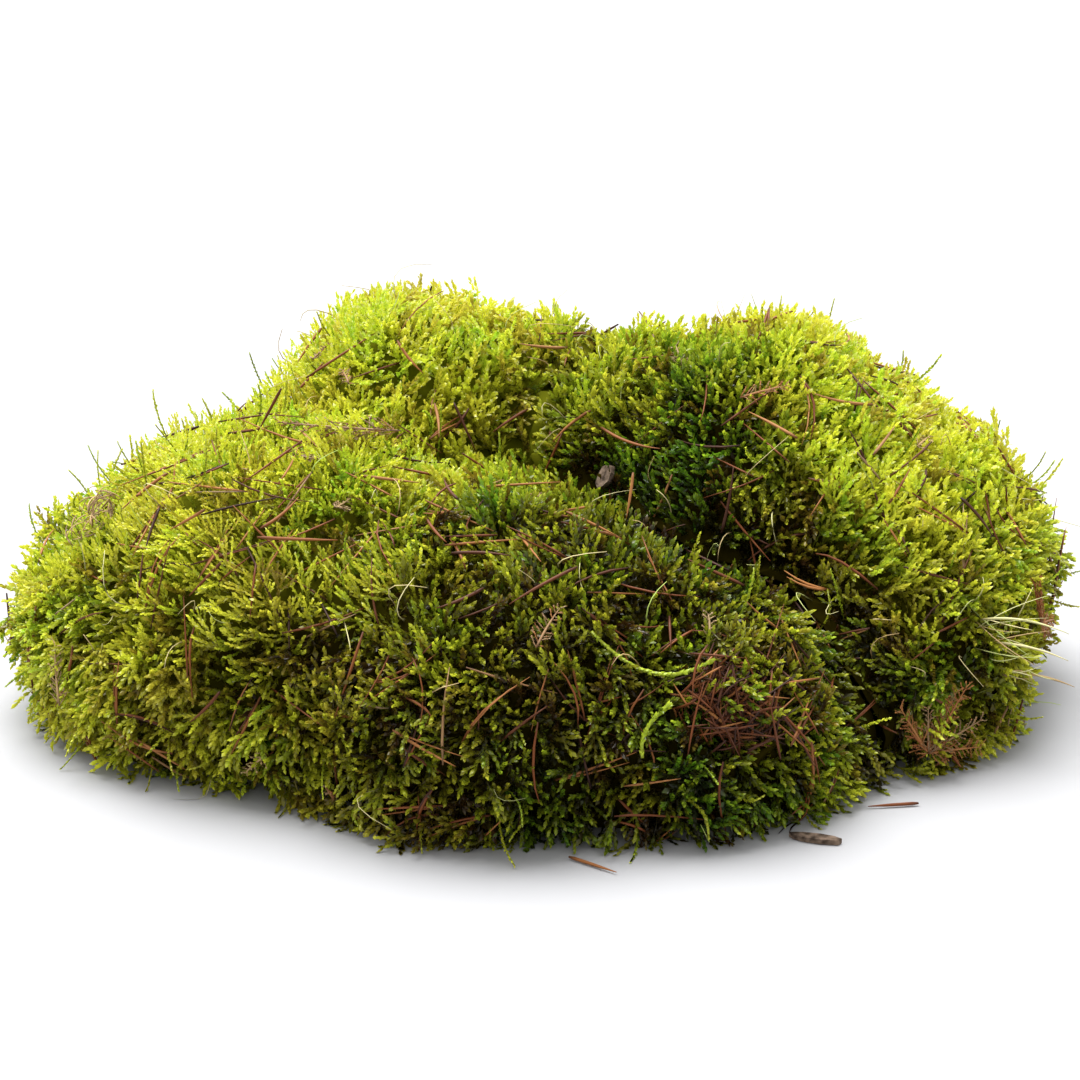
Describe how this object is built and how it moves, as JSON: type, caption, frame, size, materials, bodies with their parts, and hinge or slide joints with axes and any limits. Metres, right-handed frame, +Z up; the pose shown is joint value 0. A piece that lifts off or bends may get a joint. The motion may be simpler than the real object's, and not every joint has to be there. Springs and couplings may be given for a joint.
{
  "type": "moss clump",
  "caption": "Low cushion of green feather moss with a deep crease between its lobes, with fallen conifer needles, dry sprigs and bark on it. It lies flat as ground cover or decoration.",
  "frame": {"origin": "middle of the flat underside, under the middle of the clump's box", "axes": "+X along the long side, towards the right lobe; +Z up; -Y is the front"},
  "size_m": [0.2828, 0.2186, 0.0969],
  "materials": {
    "moss": "matt, soft and leafy, yellow-green tips over dark green",
    "old_needle": "satin, reddish brown dry conifer needle",
    "needle_litter": "matt, rust-brown matted needles",
    "dry_moss": "matt, dry brown sprig",
    "fresh_shoot": "matt, pale green shoot",
    "straw": "satin, straw-coloured dry blade",
    "bark": "matt, grey-brown bark",
    "dead_leaf": "matt, dry beige leaf"
  },
  "bodies": {
    "root": {"bark_flake": "bark", "bark_sliver": "bark", "conifer_needle_01": "old_needle", "conifer_needle_02": "old_needle", "conifer_needle_03": "old_needle", "conifer_needle_04": "old_needle", "conifer_needle_05": "old_needle", "conifer_needle_06": "old_needle", "conifer_needle_07": "old_needle", "conifer_needle_08": "old_needle", "conifer_needle_09": "old_needle", "conifer_needle_10": "old_needle", "conifer_needle_11": "old_needle", "conifer_needle_12": "old_needle", "conifer_needle_13": "old_needle", "conifer_needle_14": "old_needle", "conifer_needle_15": "old_needle", "conifer_needle_16": "old_needle", "conifer_needle_17": "old_needle", "conifer_needle_18": "old_needle", "conifer_needle_19": "old_needle", "conifer_needle_20": "old_needle", "conifer_needle_21": "old_needle", "conifer_needle_22": "old_needle", "conifer_needle_23": "old_needle", "conifer_needle_24": "old_needle", "conifer_needle_25": "old_needle", "conifer_needle_26": "old_needle", "conifer_needle_27": "old_needle", "conifer_needle_28": "old_needle", "conifer_needle_29": "old_needle", "conifer_needle_30": "old_needle", "conifer_needle_31": "old_needle", "conifer_needle_32": "old_needle", "conifer_needle_33": "old_needle", "conifer_needle_34": "old_needle", "conifer_needle_35": "old_needle", "dead_leaf": "dead_leaf", "dry_sprig_1": "dry_moss", "dry_sprig_2": "dry_moss", "dry_sprig_3": "dry_moss", "dry_sprig_4": "dry_moss", "dry_sprig_5": "dry_moss", "dry_sprig_6": "dry_moss", "grass_blade_1": "straw", "grass_blade_2": "straw", "grass_blade_3": "straw", "left_cushion": "moss", "loose_shoot_1": "fresh_shoot", "loose_shoot_2": "fresh_shoot", "needle_litter": "needle_litter", "right_cushion": "moss"}
  },
  "joints": []
}
